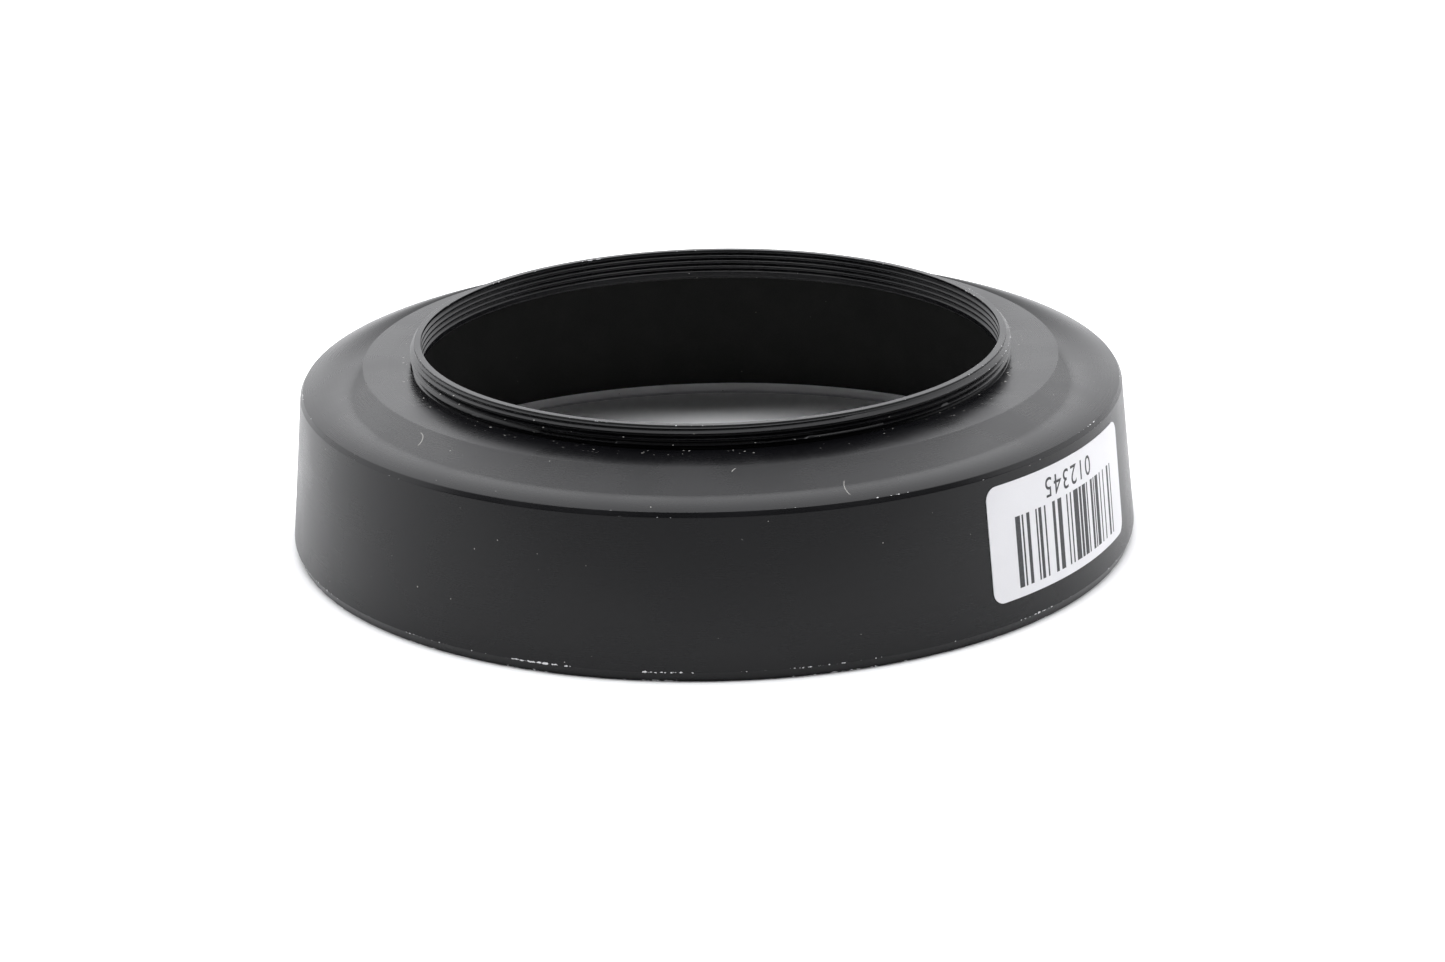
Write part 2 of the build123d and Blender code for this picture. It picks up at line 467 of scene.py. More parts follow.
def settled_specks_group():
    """Mask of small round specks, one in some cells of a jittered lattice."""
    tree, given, made = new_group(
        "settled_specks",
        {"Position": None, "Spacing": 1.0, "Size": 0.08, "Share": 0.3},
        {"Mask": "NodeSocketFloat"},
    )
    cells = tree.nodes.new("ShaderNodeTexVoronoi")
    feed(tree, cells.inputs["Vector"], given["Position"])
    feed(tree, cells.inputs["Scale"], calculate(tree, "DIVIDE", 1.0, given["Spacing"]))
    chance = tree.nodes.new("ShaderNodeSeparateColor")
    feed(tree, chance.inputs[0], cells.outputs["Color"])
    away = calculate(tree, "MULTIPLY", cells.outputs["Distance"], given["Spacing"])
    smaller = remap(tree, chance.outputs[1], 0.0, 1.0, 0.35, 1.0)
    size = calculate(tree, "MULTIPLY", given["Size"], smaller)
    inside = remap(tree, calculate(tree, "SUBTRACT", size, away), 0.0, 0.015)
    kept = calculate(tree, "LESS_THAN", chance.outputs[0], given["Share"])
    feed(tree, made["Mask"], calculate(tree, "MULTIPLY", inside, kept))
    return tree


def lint_hair_group():
    """Mask of one short curved fibre: a thin shell of a ball, kept near one point."""
    tree, given, made = new_group(
        "lint_hair",
        {
            "Position": None,
            "Middle": None,
            "Bend Centre": None,
            "Bend": 2.0,
            "Length": 1.5,
            "Width": 0.05,
        },
        {"Mask": "NodeSocketFloat"},
    )
    near = tree.nodes.new("ShaderNodeVectorMath")
    near.operation = "DISTANCE"
    feed(tree, near.inputs[0], given["Position"])
    feed(tree, near.inputs[1], given["Middle"])
    round_bend = tree.nodes.new("ShaderNodeVectorMath")
    round_bend.operation = "DISTANCE"
    feed(tree, round_bend.inputs[0], given["Position"])
    feed(tree, round_bend.inputs[1], given["Bend Centre"])
    off = calculate(tree, "SUBTRACT", round_bend.outputs["Value"], given["Bend"])
    clear = calculate(tree, "SUBTRACT", given["Width"], calculate(tree, "ABSOLUTE", off))
    line = remap(tree, clear, 0.0, 0.02)
    half = calculate(tree, "MULTIPLY", given["Length"], 0.5)
    ends = remap(tree, calculate(tree, "SUBTRACT", half, near.outputs["Value"]), 0.0, 0.15)
    feed(tree, made["Mask"], calculate(tree, "MULTIPLY", line, ends))
    return tree


def handling_haze_group():
    """Soft uneven patches of handling, from 0 to 1."""
    tree, given, made = new_group(
        "handling_haze", {"Position": None, "Patch": 12.0}, {"Haze": "NodeSocketFloat"}
    )
    broad = noise(tree, given["Position"], calculate(tree, "DIVIDE", 1.0, given["Patch"]), detail=4.0)
    feed(tree, made["Haze"], remap(tree, broad, 0.38, 0.68, smooth=True))
    return tree


def build_groups():
    """Every shared effect, built once."""
    makers = (
        lathe_position_group,
        turning_marks_group,
        worn_edge_group,
        settled_specks_group,
        lint_hair_group,
        handling_haze_group,
    )
    for maker in makers:
        name = maker.__name__.removesuffix("_group")
        if name not in bpy.data.node_groups:
            maker()
    return bpy.data.node_groups


def new_material(name):
    """A material with a Principled shader; returns material, tree, shader and Object coordinates."""
    material = bpy.data.materials.new(name)
    material.use_nodes = True
    tree = material.node_tree
    shader = tree.nodes["Principled BSDF"]
    place = tree.nodes.new("ShaderNodeTexCoord").outputs["Object"]
    return material, tree, shader, place


def add_bump(tree, shader, height, strength, distance):
    """Feeds a height to the shader's normal."""
    bump = tree.nodes.new("ShaderNodeBump")
    bump.inputs["Strength"].default_value = strength
    bump.inputs["Distance"].default_value = distance
    feed(tree, bump.inputs["Height"], height)
    feed(tree, shader.inputs["Normal"], bump.outputs[0])


# ---- finishes -----------------------------------------------------------------------


def anodised_material(name, finish, edges, bare_below=None, dust_from=None, fibres=()):
    """Satin black anodising with turning marks, haze, chipped edges and settled dust.

    edges holds (radius, height, reach, coverage) in millimetres for each edge that wears.
    bare_below is (height, radius): metal inside that radius and below that height is bare.
    dust_from is the radius of a foot in whose corner fine dust gathers, outside it.
    fibres holds (middle, bend centre, bend, length) in millimetres for each stuck fibre.
    """
    groups = build_groups()
    material, tree, shader, place = new_material(name)
    at = place_group(tree, groups["lathe_position"], vector=place)
    lines = place_group(
        tree, groups["turning_marks"], radius=at["Radius"], height=at["Height"], spacing=0.11
    )["Lines"]
    haze = place_group(tree, groups["handling_haze"], position=at["Position"], patch=11.0)["Haze"]
    specks = place_group(
        tree,
        groups["settled_specks"],
        position=at["Position"],
        spacing=1.5,
        size=0.09,
        share=finish.dust * 0.5,
    )["Mask"]
    if dust_from is not None:
        fine = place_group(
            tree,
            groups["settled_specks"],
            position=at["Position"],
            spacing=0.6,
            size=0.16,
            share=finish.dust * 0.9,
        )["Mask"]
        inner = calculate(tree, "GREATER_THAN", at["Radius"], dust_from)
        outer = remap(tree, at["Radius"], dust_from + 1.4, dust_from + 2.6, 1.0, 0.0)
        patchy = remap(tree, noise(tree, at["Position"], 0.3, detail=2.0), 0.44, 0.52)
        corner = calculate(tree, "MULTIPLY", calculate(tree, "MULTIPLY", inner, outer), patchy)
        specks = calculate(tree, "MAXIMUM", specks, calculate(tree, "MULTIPLY", fine, corner))
    for middle, bend_centre, bend, span in fibres:
        hair = place_group(
            tree,
            groups["lint_hair"],
            position=at["Position"],
            middle=middle,
            bend_centre=bend_centre,
            bend=bend,
            length=span,
            width=0.045,
        )["Mask"]
        specks = calculate(tree, "MAXIMUM", specks, hair)
    worn = None
    for radius, height, reach, coverage in edges:
        chips = place_group(
            tree,
            groups["worn_edge"],
            position=at["Position"],
            radius=at["Radius"],
            height=at["Height"],
            edge_radius=radius,
            edge_height=height,
            reach=reach,
            coverage=coverage * finish.wear * 2,
            grain=0.45,
        )["Mask"]
        worn = chips if worn is None else calculate(tree, "MAXIMUM", worn, chips)
    bare = worn
    if bare_below is not None:
        low = remap(tree, at["Height"], bare_below[0] - 0.03, bare_below[0], 1.0, 0.0)
        inside = calculate(tree, "LESS_THAN", at["Radius"], bare_below[1])
        bare = calculate(tree, "MAXIMUM", worn, calculate(tree, "MULTIPLY", low, inside))
    tone = remap(tree, haze, 0.0, 1.0, 0.0, 0.35)
    faded = tuple(channel * 1.9 for channel in finish.black)
    dyed = mix_colour(tree, tone, tuple(finish.black), faded)
    chipped = mix_colour(tree, bare, dyed, tuple(finish.bare_metal))
    dusted = mix_colour(tree, specks, chipped, (0.42, 0.41, 0.39))
    feed(tree, shader.inputs["Base Color"], dusted)
    feed(tree, shader.inputs["Metallic"], calculate(tree, "MULTIPLY", bare, 0.7))
    shader.inputs["IOR"].default_value = 1.36
    satin = remap(tree, lines, 0.3, 0.7, finish.satin - 0.015, finish.satin + 0.02)
    hazy = calculate(tree, "ADD", satin, calculate(tree, "MULTIPLY", haze, 0.05))
    worn_rough = mix_value(tree, bare, hazy, 0.5)
    feed(tree, shader.inputs["Roughness"], mix_value(tree, specks, worn_rough, 0.9))
    grain = noise(tree, at["Position"], 9.0, detail=2.0)
    line_relief = calculate(tree, "MULTIPLY", lines, 0.6)
    grain_relief = calculate(tree, "MULTIPLY", grain, 0.25)
    relief = calculate(tree, "ADD", line_relief, grain_relief)
    add_bump(tree, shader, relief, 0.16, 0.004 * MM)
    return material


def sleeve_material(sleeve):
    """Deep matte black flock with a few pale smudges of dust."""
    groups = build_groups()
    material, tree, shader, place = new_material("matte_flock")
    at = place_group(tree, groups["lathe_position"], vector=place)
    haze = place_group(tree, groups["handling_haze"], position=at["Position"], patch=5.0)["Haze"]
    specks = place_group(
        tree, groups["settled_specks"], position=at["Position"], spacing=1.1, size=0.1, share=0.10
    )["Mask"]
    nap = noise(tree, at["Position"], 14.0, detail=3.0, roughness=0.7)
    pale = tuple(channel * 2.2 for channel in sleeve.black)
    napped = mix_colour(tree, remap(tree, nap, 0.3, 0.7), tuple(sleeve.black), pale)
    dusty = mix_colour(tree, calculate(tree, "MULTIPLY", haze, 0.03), napped, (0.10, 0.10, 0.095))
    feed(tree, shader.inputs["Base Color"], mix_colour(tree, specks, dusty, (0.09, 0.09, 0.085)))
    feed(tree, shader.inputs["Roughness"], remap(tree, nap, 0.2, 0.8, 0.85, 1.0))
    shader.inputs["Specular IOR Level"].default_value = 0.1
    shader.inputs["Sheen Weight"].default_value = 0.04
    shader.inputs["Sheen Roughness"].default_value = 0.6
    add_bump(tree, shader, nap, 0.6, 0.03 * MM)
    return material


def paper_material(label):
    """Coated white paper with faint fibre, a little dirt and handling marks."""
    groups = build_groups()
    material, tree, shader, place = new_material("coated_paper")
    at = place_group(tree, groups["lathe_position"], vector=place)
    haze = place_group(tree, groups["handling_haze"], position=at["Position"], patch=6.0)["Haze"]
    fibre = noise(tree, at["Position"], 5.0, detail=4.0, roughness=0.65)
    grubby = tuple(channel * 0.93 for channel in label.paper)
    base = mix_colour(tree, remap(tree, fibre, 0.3, 0.7, 0.0, 0.35), tuple(label.paper), grubby)
    handled = mix_colour(tree, calculate(tree, "MULTIPLY", haze, 0.25), base, grubby)
    feed(tree, shader.inputs["Base Color"], handled)
    feed(tree, shader.inputs["Roughness"], remap(tree, haze, 0.0, 1.0, 0.48, 0.62))
    shader.inputs["Specular IOR Level"].default_value = 0.35
    add_bump(tree, shader, fibre, 0.2, 0.01 * MM)
    return material


def ink_material(label):
    """Thermal print: dark grey, with thin spots where the paper shows."""
    groups = build_groups()
    material, tree, shader, place = new_material("thermal_ink")
    at = place_group(tree, groups["lathe_position"], vector=place)
    thin = noise(tree, at["Position"], 3.5, detail=3.0, roughness=0.7)
    paler = tuple(channel * 2.0 for channel in label.ink)
    printed = mix_colour(tree, remap(tree, thin, 0.35, 0.75), tuple(label.ink), paler)
    feed(tree, shader.inputs["Base Color"], printed)
    feed(tree, shader.inputs["Roughness"], remap(tree, thin, 0.3, 0.7, 0.5, 0.62))
    shader.inputs["Specular IOR Level"].default_value = 0.3
    add_bump(tree, shader, thin, 0.15, 0.005 * MM)
    return material


def floor_material(rim_radius, glow):
    """Plain pale table top, darker towards the camera, with a painted glow that camera rays alone see
    outside the rim, lifting it to white.
    """
    groups = build_groups()
    material, tree, shader, place = new_material("pale_floor")
    at = place_group(tree, groups["lathe_position"], vector=place)
    soft = noise(tree, place, 3.0, detail=2.0)
    pale = mix_colour(tree, soft, (0.90, 0.90, 0.90), (0.92, 0.92, 0.92))
    axes = tree.nodes.new("ShaderNodeSeparateXYZ")
    feed(tree, axes.inputs[0], at["Position"])
    # base colour darker towards the camera, from y = -85 mm to -130 mm
    near_edge = remap(tree, axes.outputs[1], -130.0, -85.0, 1.0, 0.0, smooth=True)
    feed(tree, shader.inputs["Base Color"], mix_colour(tree, near_edge, pale, (0.56, 0.56, 0.56)))
    shader.inputs["Roughness"].default_value = 0.9
    shader.inputs["Specular IOR Level"].default_value = 0.0
    # painted light: outside the rim, camera rays see a glow added on top of the lit floor, which hides
    # most of its shade
    outside = remap(tree, at["Radius"], rim_radius / MM, rim_radius / MM + 4.0, smooth=True)
    seen = tree.nodes.new("ShaderNodeLightPath").outputs["Is Camera Ray"]
    shader.inputs["Emission Color"].default_value = (1, 1, 1, 1)
    camera_glow = calculate(tree, "MULTIPLY", outside, calculate(tree, "MULTIPLY", seen, glow))
    feed(tree, shader.inputs["Emission Strength"], camera_glow)
    return material


# ---- operators, one for each piece --------------------------------------------------


class LENSHOOD_OT_turn_shell(bpy.types.Operator):
    """Turn the flared shell: seat, cone, wall and front rim"""

    bl_idname = "lens_hood.turn_shell"
    bl_label = "Turn shell"

    # Each stuck fibre on the cone: angle about the axis and radius of its middle, radius of its
    # bend, direction of the bend's centre, and length. Angles are in degrees, the rest in mm.
    FIBRES = (
        (-139.2, 46.2, 2.66, 176.8, 3.2),
        (-72.2, 50.0, 3.09, 13.5, 2.8),
        (-87.0, 45.2, 1.95, -36.2, 0.9),
    )

    def execute(self, context):
        hood = context.scene.lens_hood
        shell, ring = hood.shell, hood.ring
        top_radius = shell.cone_radius + shell.edge_bevel
        top_height = shell.cone_height - shell.bevel_height
        flare = wall_flare(shell)

        def wall_inside(height):
            return shell.foot_radius - (height - shell.foot_height) * flare - shell.wall

        lip_radius = wall_inside(shell.lip_height)
        head_height = SLEEVE_BOX[1].z
        ledge_under = shell.seat_height - ring.flange
        cone_slope = math.atan2(
            shell.seat_height - shell.cone_height, shell.cone_radius - shell.seat_radius
        )
        roof_radius = shell.seat_radius + shell.ledge_overhang
        roof_drop = (roof_radius - shell.seat_radius) * math.tan(cone_slope)
        roof_height = min(
            shell.seat_height - roof_drop - shell.roof / math.cos(cone_slope),
            ledge_under - shell.ledge,
        )
        section = [
            (shell.seat_radius, shell.seat_height),
            (shell.cone_radius, shell.cone_height),
            (top_radius, top_height),
            (shell.foot_radius, shell.foot_height),
            (shell.rim_radius, 0.0),
            (lip_radius + shell.rim_chamfer, 0.0),
            (lip_radius, shell.rim_chamfer),
            (lip_radius, shell.lip_height),
            (wall_inside(head_height), head_height),
            (roof_radius, roof_height),
            (shell.socket_radius, roof_height),
            (shell.socket_radius, ledge_under),
            (shell.seat_radius, ledge_under),
        ]
        piece = turn_on_lathe("flared_shell", section, shell.segments)
        break_edges(piece, shell.edge_break, keep_sharp=[section[0]])
        foot = (shell.foot_radius / MM, shell.foot_height / MM)
        edges = [
            (*foot, 0.17, 0.5),
            (shell.rim_radius / MM, 0.0, 0.25, 0.5),
            (shell.cone_radius / MM, shell.cone_height / MM, 0.09, 0.3),
            (top_radius / MM, top_height / MM, 0.09, 0.25),
        ]
        bare = (shell.lip_height / MM + 0.02, (lip_radius + shell.rim_chamfer) / MM + 0.1)
        fibres = [self.fibre_on_cone(shell, cone_slope, *fibre) for fibre in self.FIBRES]
        material = anodised_material("satin_black_shell", hood.finish, edges, bare, fibres=fibres)
        finish_piece(piece, material, "shell", "hood_shell")
        return {"FINISHED"}

    def fibre_on_cone(self, shell, cone_slope, angle, radius, bend, bend_angle, span):
        """Middle, bend centre, bend and length of one fibre, laid on the sloping top."""
        out = radius - shell.seat_radius / MM
        height = shell.seat_height / MM - out * math.tan(cone_slope)
        angle, bend_angle = math.radians(angle), math.radians(bend_angle)
        middle = Vector((radius * math.cos(angle), radius * math.sin(angle), height))
        centre = middle + Vector((bend * math.cos(bend_angle), bend * math.sin(bend_angle), 0))
        return tuple(middle), tuple(centre), bend, span


class LENSHOOD_OT_turn_ring(bpy.types.Operator):
    """Turn the mount ring and cut its lens thread"""

    bl_idname = "lens_hood.turn_ring"
    bl_label = "Turn mount ring"

    FLANK = math.radians(30)    # each side of the V
    OVERCUT = 0.02 * MM         # how far the cutter reaches past the crests
    TURNS_BELOW = 3             # turns of the cutter below the last full crest
    TURNS_IN_ALL = 5

    def execute(self, context):
        hood = context.scene.lens_hood
        ring, shell = hood.ring, hood.shell
        top = CAD_BOX[1].z
        root_radius = ring.thread_radius - ring.thread_depth
        thread_top = top - ring.pilot_height
        seat = shell.seat_height
        under = seat - ring.flange
        flange_radius = shell.seat_radius
        skirt_foot = RING_BOX[0].z
        section = [
            (ring.bore_radius, top),
            (ring.pilot_radius, top),
            (ring.pilot_radius, thread_top),
            (ring.thread_radius, thread_top - ring.start_chamfer),
            (ring.thread_radius, seat + ring.relief + ring.thread_depth / 2),
            (root_radius, seat + ring.relief),
            (root_radius, seat),
            (flange_radius, seat),
            (flange_radius, under),
            (ring.skirt_outer, under),
            (ring.skirt_outer, skirt_foot),
            (ring.skirt_inner, skirt_foot),
            (ring.skirt_inner, under),
            (ring.bore_radius + ring.bore_chamfer, under),
            (ring.bore_radius, under + ring.bore_chamfer),
        ]
        highest = top - ring.pitch / 2
        for index in reversed(range(ring.bore_rings)):
            ring_top = highest - index * ring.pitch
            ring_foot = ring_top - ring.ring_share * ring.pitch
            section.append((ring.bore_radius, ring_foot))
            section.append((ring.bore_radius + ring.ring_depth, (ring_top + ring_foot) / 2))
            section.append((ring.bore_radius, ring_top))
        piece = turn_on_lathe("threaded_ring", section, shell.segments)
        break_edges(piece, shell.edge_break, keep_sharp=[(flange_radius, seat)])
        self.cut_thread(piece, ring, root_radius, shell.segments)
        edges = [
            (ring.thread_radius / MM, (thread_top - ring.start_chamfer) / MM, 0.12, 0.5),
            (ring.pilot_radius / MM, top / MM, 0.10, 0.45),
            (ring.bore_radius / MM, top / MM, 0.10, 0.4),
        ]
        foot = root_radius / MM + 0.3
        material = anodised_material("satin_black_ring", hood.finish, edges, dust_from=foot)
        finish_piece(piece, material, "ring", "mount_ring")
        return {"FINISHED"}

    def cut_thread(self, body, ring, root_radius, segments):
        """Winds a V cutter round the collar and takes it away from the body."""
        reach = ring.thread_depth + self.OVERCUT
        half_root = ring.pitch / 8
        half_mouth = half_root + reach * math.tan(self.FLANK)
        groove_at_x_axis = ring.front_crest - ring.pitch / 2 + ring.pitch / 4
        groove = groove_at_x_axis - self.TURNS_BELOW * ring.pitch
        section = [
            (root_radius, groove - half_root),
            (root_radius + reach, groove - half_mouth),
            (root_radius + reach, groove + half_mouth),
            (root_radius, groove + half_root),
        ]
        cutter = draw_outline("thread_cutter", section)
        apply_modifier(
            cutter,
            "SCREW",
            axis="Z",
            angle=2 * math.pi,
            screw_offset=ring.pitch,
            iterations=self.TURNS_IN_ALL,
            steps=segments,
            render_steps=segments,
            use_smooth_shade=True,
        )
        bpy.ops.object.mode_set(mode="EDIT")
        bpy.ops.mesh.select_all(action="SELECT")
        bpy.ops.mesh.fill_holes(sides=len(section))
        bpy.ops.object.mode_set(mode="OBJECT")
        close_and_orient(cutter)
        apply_modifier(body, "BOOLEAN", operation="DIFFERENCE", solver="EXACT", object=cutter)
        bpy.data.objects.remove(cutter)
        smooth_by_angle(body)


class LENSHOOD_OT_roll_sleeve(bpy.types.Operator):
    """Roll the matte sleeve that lines the wall"""

    bl_idname = "lens_hood.roll_sleeve"
    bl_label = "Roll matte sleeve"

    def execute(self, context):
        hood = context.scene.lens_hood
        shell, sleeve = hood.shell, hood.sleeve
        foot_height = SLEEVE_BOX[0].z
        head_height = SLEEVE_BOX[1].z
        flare = wall_flare(shell)
        foot_radius = SLEEVE_BOX[1].x
        head_radius = foot_radius - (head_height - foot_height) * flare
        section = [
            (head_radius, head_height),
            (foot_radius, foot_height),
            (foot_radius - sleeve.thickness, foot_height),
            (head_radius - sleeve.thickness, head_height),
        ]
        piece = turn_on_lathe("matte_sleeve", section, shell.segments)
        break_edges(piece, 0.1 * MM)
        finish_piece(piece, sleeve_material(sleeve), "lining", "matte_lining")
        return {"FINISHED"}


class LENSHOOD_OT_stick_label(bpy.types.Operator):
    """Cut the stock label, print it and wrap it on the wall, upside down"""

    bl_idname = "lens_hood.stick_label"
    bl_label = "Stick label"

    BAR_RUN = "31122411221522341212412131132111321314221"
    BARS_LEFT = 4.2 * MM
    BARS_WIDTH = 22.9 * MM
    BARS_FOOT = 1.15 * MM
    BARS_HEIGHT = 8.9 * MM
    DIGITS_LEFT = 9.6 * MM
    DIGITS_FOOT = 10.75 * MM
    DIGITS_HEIGHT = 2.45 * MM
    DIGITS_HALF_WIDTH = 5.8 * MM
    CAP_SHARE = 0.69            # height of a digit as a share of the font's size
    GLUE = 0.01 * MM            # between the wall and the paper
    INK = 0.012 * MM
    INK_SINK = 0.002 * MM       # how far the ink starts inside the paper
    CLEAR = 5 * MM              # how far in front of the wall the flat sheets are made
    PAPER_COLUMNS = 44
    BEND_ROWS = (0.25, 0.5, 0.75)

    def execute(self, context):
        hood = context.scene.lens_hood
        label = hood.label
        shell = bpy.data.objects["flared_shell"]
        paper = self.cut_paper(label)
        bars = self.print_bars(label)
        digits = self.print_digits(label)
        ink = ink_material(label)
        jobs = (
            (paper, paper_material(label), self.GLUE, label.thickness - self.GLUE),
            (bars, ink, label.thickness - self.INK_SINK, self.INK),
            (digits, ink, label.thickness - self.INK_SINK, self.INK),
        )
        for piece, material, gap, thickness in jobs:
            self.wrap(piece, shell, label, gap, thickness)
            finish_piece(piece, material, "label")
        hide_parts("stock_label")
        return {"FINISHED"}

    def sheet(self, name, left, foot, width, height):
        """A flat rectangle that faces -Y, in the plane in front of the wall."""
        bpy.ops.object.select_all(action="DESELECT")
        middle = (left + width / 2, -LABEL_BOX[1].x - self.CLEAR, foot + height / 2)
        bpy.ops.mesh.primitive_plane_add(size=1, location=middle, rotation=(math.pi / 2, 0, 0))
        piece = bpy.context.object
        piece.name = name
        piece.data.name = name
        piece.scale = (width, height, 1)
        bpy.ops.object.transform_apply(location=True, rotation=True, scale=True)
        return piece

    def cut_paper(self, label):
        """The label's paper: rounded corners, with columns that let it bend."""
        left = -label.width / 2
        foot = label.mid_height - label.height / 2
        piece = self.sheet("paper_label", left, foot, label.width, label.height)
        bpy.ops.object.mode_set(mode="EDIT")
        bpy.ops.mesh.select_all(action="SELECT")
        bpy.ops.mesh.bevel(affect="VERTICES", offset=label.corner, segments=8, offset_type="OFFSET")
        for index in range(1, self.PAPER_COLUMNS):
            bpy.ops.mesh.select_all(action="SELECT")
            across = left + label.width * index / self.PAPER_COLUMNS
            bpy.ops.mesh.bisect(plane_co=(across, 0, 0), plane_no=(1, 0, 0))
        for row in self.BEND_ROWS:
            bpy.ops.mesh.select_all(action="SELECT")
            bpy.ops.mesh.bisect(plane_co=(0, 0, foot + label.height * row), plane_no=(0, 0, 1))
        bpy.ops.object.mode_set(mode="OBJECT")
        return piece

    def print_bars(self, label):
        """Bars of made-up widths, each with its own strip of ink."""
        left = -label.width / 2 + self.BARS_LEFT
        foot = label.mid_height - label.height / 2 + self.BARS_FOOT
        step = self.BARS_WIDTH / sum(int(width) for width in self.BAR_RUN)
        bars = []
        for index, width in enumerate(int(width) for width in self.BAR_RUN):
            if index % 2 == 0:
                bars.append(self.sheet("label_bars", left, foot, width * step, self.BARS_HEIGHT))
            left += width * step
        bpy.ops.object.select_all(action="DESELECT")
        for bar in bars:
            bar.select_set(True)
        bpy.context.view_layer.objects.active = bars[0]
        bpy.ops.object.join()
        piece = bpy.context.object
        bpy.ops.object.mode_set(mode="EDIT")
        for row in self.BEND_ROWS:
            bpy.ops.mesh.select_all(action="SELECT")
            bpy.ops.mesh.bisect(plane_co=(0, 0, foot + self.BARS_HEIGHT * row), plane_no=(0, 0, 1))
        bpy.ops.object.mode_set(mode="OBJECT")
        return piece

    def print_digits(self, label):
        """Generic digits, upside down above the bars."""
        bpy.ops.object.select_all(action="DESELECT")
        foot = label.mid_height - label.height / 2 + self.DIGITS_FOOT
        middle = -label.width / 2 + self.DIGITS_LEFT + self.DIGITS_HALF_WIDTH
        bpy.ops.object.text_add(rotation=(math.pi / 2, math.pi, 0))
        text = bpy.context.object
        text.data.body = label.digits
        text.data.align_x = "CENTER"
        text.data.size = self.DIGITS_HEIGHT / self.CAP_SHARE
        text.data.space_character = 1.15
        text.scale.x = 0.92
        text.location = (middle, -LABEL_BOX[1].x - self.CLEAR, foot + self.DIGITS_HEIGHT)
        bpy.ops.object.convert(target="MESH")
        piece = bpy.context.object
        piece.name = "label_digits"
        piece.data.name = "label_digits"
        bpy.ops.object.transform_apply(location=True, rotation=True, scale=True)
        return piece

    def wrap(self, piece, shell, label, gap, thickness):
        """Presses a flat sheet on the wall, gives it thickness and turns it to its place."""
        apply_modifier(
            piece,
            "SHRINKWRAP",
            target=shell,
            wrap_method="PROJECT",
            use_project_y=True,
            use_positive_direction=True,
            use_negative_direction=False,
            offset=gap,
        )
        apply_modifier(piece, "SOLIDIFY", thickness=thickness, offset=1.0, use_even_offset=True)
        close_and_orient(piece)
        select_only(piece)
        turn = label.mid_angle + math.pi / 2
        piece.rotation_euler.z = turn
        bpy.ops.object.transform_apply(location=True, rotation=True, scale=True)
        bpy.ops.object.shade_smooth_by_angle(angle=SMOOTH_BELOW)


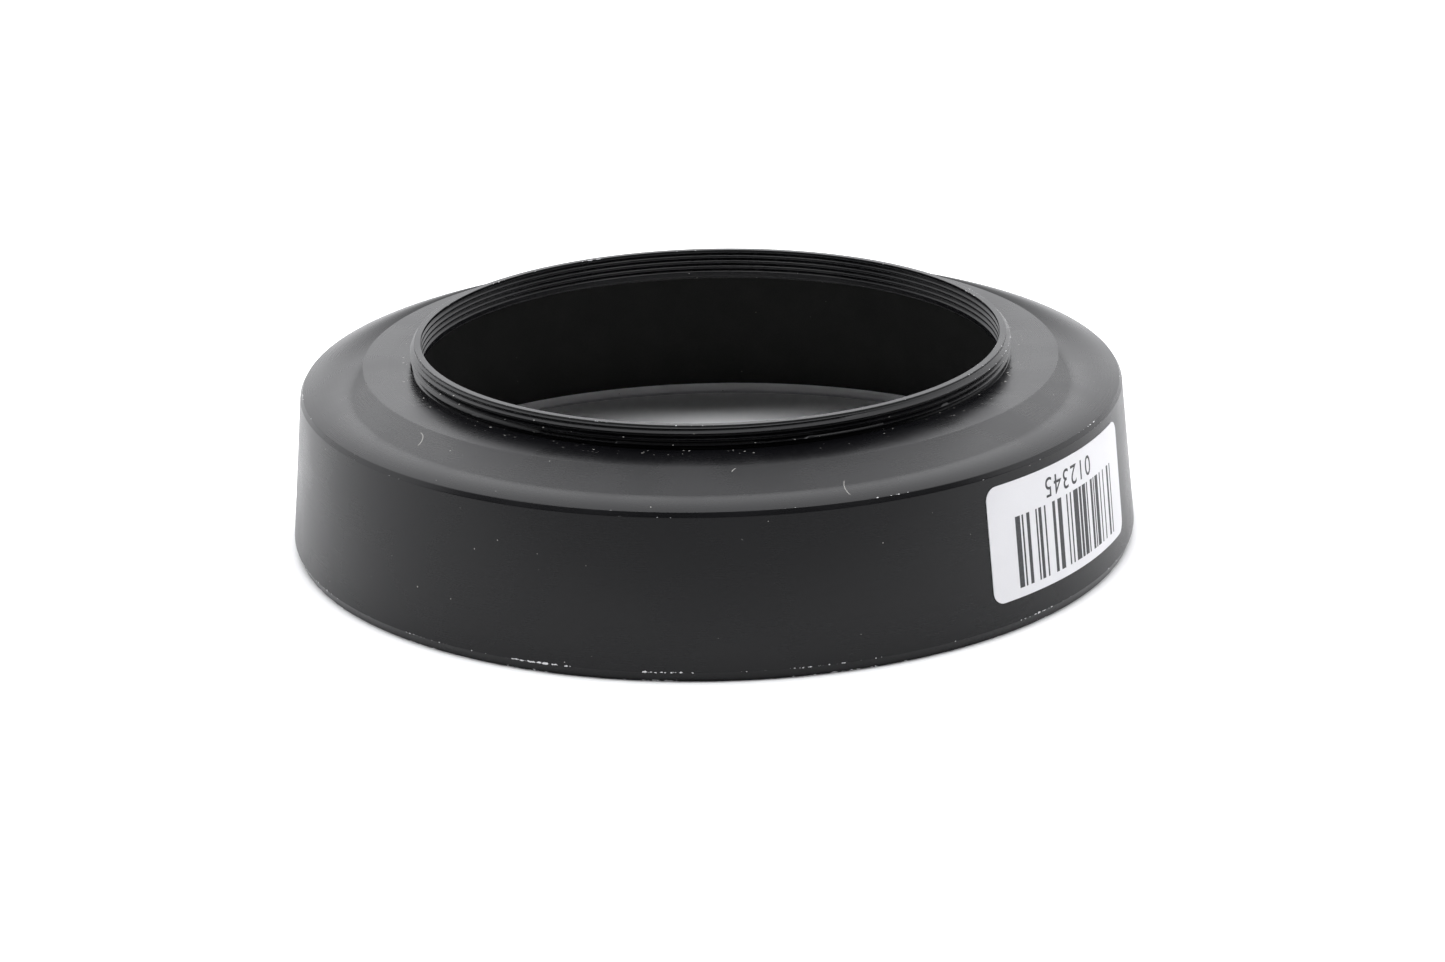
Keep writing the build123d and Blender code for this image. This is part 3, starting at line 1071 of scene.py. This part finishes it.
class LENSHOOD_OT_set_stage(bpy.types.Operator):
    """Lay the pale floor, set the soft white surround and place the camera"""

    bl_idname = "lens_hood.set_stage"
    bl_label = "Set stage"

    FLOOR_RADIUS = 3.0
    FLOOR_GAP = 0.02 * MM       # under the rim
    FRONT_CUT = 0.18            # how softly the surround falls dark towards the camera
    SOFTBOX_BACK = (-0.04, 0.08)
    NEAR_SOFTNESS = 0.06
    END_SOFTNESS = 0.2
    SURROUND_TINT = (0.975, 0.98, 1.0, 1)

    def execute(self, context):
        stage = context.scene.lens_hood.stage
        context.scene.view_settings.view_transform = "Standard"
        self.lay_floor(context.scene.lens_hood)
        self.light(context.scene, stage)
        self.place_camera(context.scene, stage)
        return {"FINISHED"}

    def lay_floor(self, hood):
        """A broad pale table top, a hair under the rim."""
        bpy.ops.object.select_all(action="DESELECT")
        bpy.ops.mesh.primitive_circle_add(
            vertices=64, radius=self.FLOOR_RADIUS, fill_type="NGON", location=(0, 0, -self.FLOOR_GAP)
        )
        floor = bpy.context.object
        floor.name = "pale_floor"
        floor.data.materials.append(floor_material(hood.shell.rim_radius, hood.stage.floor_lift))

    def light(self, scene, stage):
        """White all round, dark on the camera's side, with a wide softbox above that edge."""
        world = bpy.data.worlds.new("white_surround")
        world.use_nodes = True
        scene.world = world
        tree = world.node_tree
        direction = tree.nodes.new("ShaderNodeTexCoord").outputs["Generated"]
        axes = tree.nodes.new("ShaderNodeSeparateXYZ")
        feed(tree, axes.inputs[0], direction)
        forward = calculate(tree, "MULTIPLY", axes.outputs[1], -1.0)
        surround = remap(
            tree, forward, 0.0, self.FRONT_CUT, stage.sky, stage.dark_side, smooth=True
        )
        far = remap(tree, forward, *self.SOFTBOX_BACK, smooth=True)
        near = math.sin(stage.softbox_near)
        near_edge = (near - self.NEAR_SOFTNESS, near + self.NEAR_SOFTNESS)
        front = remap(tree, forward, *near_edge, 1.0, 0.0, smooth=True)
        sideways = calculate(tree, "ABSOLUTE", axes.outputs[0])
        half = math.sin(stage.softbox_half_width)
        ends = (half - self.END_SOFTNESS, half + self.END_SOFTNESS)
        across = remap(tree, sideways, *ends, 1.0, 0.0, smooth=True)
        above = calculate(tree, "GREATER_THAN", axes.outputs[2], 0.0)
        patch = calculate(tree, "MULTIPLY", far, front)
        for mask in (across, above, stage.softbox):
            patch = calculate(tree, "MULTIPLY", patch, mask)
        background = tree.nodes["Background"]
        background.inputs["Color"].default_value = self.SURROUND_TINT
        feed(tree, background.inputs["Strength"], calculate(tree, "ADD", surround, patch))

    def place_camera(self, scene, stage):
        """Camera in front, above the horizon, with a little roll and shift."""
        data = bpy.data.cameras.new("view_camera")
        camera = bpy.data.objects.new("view_camera", data)
        scene.collection.objects.link(camera)
        back = Vector((0, -math.cos(stage.elevation), math.sin(stage.elevation)))
        camera.location = Vector((0, 0, stage.aim_height)) + back * stage.distance
        level = Euler((math.pi / 2 - stage.elevation, 0, 0)).to_quaternion()
        camera.rotation_mode = "QUATERNION"
        camera.rotation_quaternion = level @ Quaternion((0, 0, 1), -stage.roll)
        data.lens = stage.focal_length
        data.sensor_width = 36
        data.shift_x = stage.shift_right
        data.shift_y = -stage.shift_down
        data.clip_start = 0.01
        data.clip_end = 20
        data.dof.use_dof = False
        scene.camera = camera


class LENSHOOD_PT_build(bpy.types.Panel):
    """Buttons that build the lens hood, in order"""

    bl_idname = "LENSHOOD_PT_build"
    bl_label = "Lens hood"
    bl_space_type = "VIEW_3D"
    bl_region_type = "UI"
    bl_category = "Lens Hood"

    def draw(self, context):
        hood = context.scene.lens_hood
        for step in STEPS:
            self.layout.operator(step.bl_idname)
        for group in (hood.shell, hood.ring, hood.finish, hood.sleeve, hood.label, hood.stage):
            box = self.layout.box()
            for name in group.bl_rna.properties.keys():
                if name not in ("rna_type", "name"):
                    box.prop(group, name)


STEPS = (
    LENSHOOD_OT_turn_shell,
    LENSHOOD_OT_turn_ring,
    LENSHOOD_OT_roll_sleeve,
    LENSHOOD_OT_stick_label,
    LENSHOOD_OT_set_stage,
)
CLASSES = (
    HoodShellSettings,
    MountRingSettings,
    AnodisedFinishSettings,
    SleeveSettings,
    StockLabelSettings,
    StageSettings,
    LensHoodSettings,
    *STEPS,
    LENSHOOD_PT_build,
)


def register():
    for each in CLASSES:
        bpy.utils.register_class(each)
    bpy.types.Scene.lens_hood = PointerProperty(type=LensHoodSettings)


def unregister():
    del bpy.types.Scene.lens_hood
    for each in reversed(CLASSES):
        bpy.utils.unregister_class(each)


def main():
    register()
    bpy.ops.lens_hood.turn_shell()
    bpy.ops.lens_hood.turn_ring()
    bpy.ops.lens_hood.roll_sleeve()
    bpy.ops.lens_hood.stick_label()
    bpy.ops.lens_hood.set_stage()


if __name__ == "__main__":
    main()
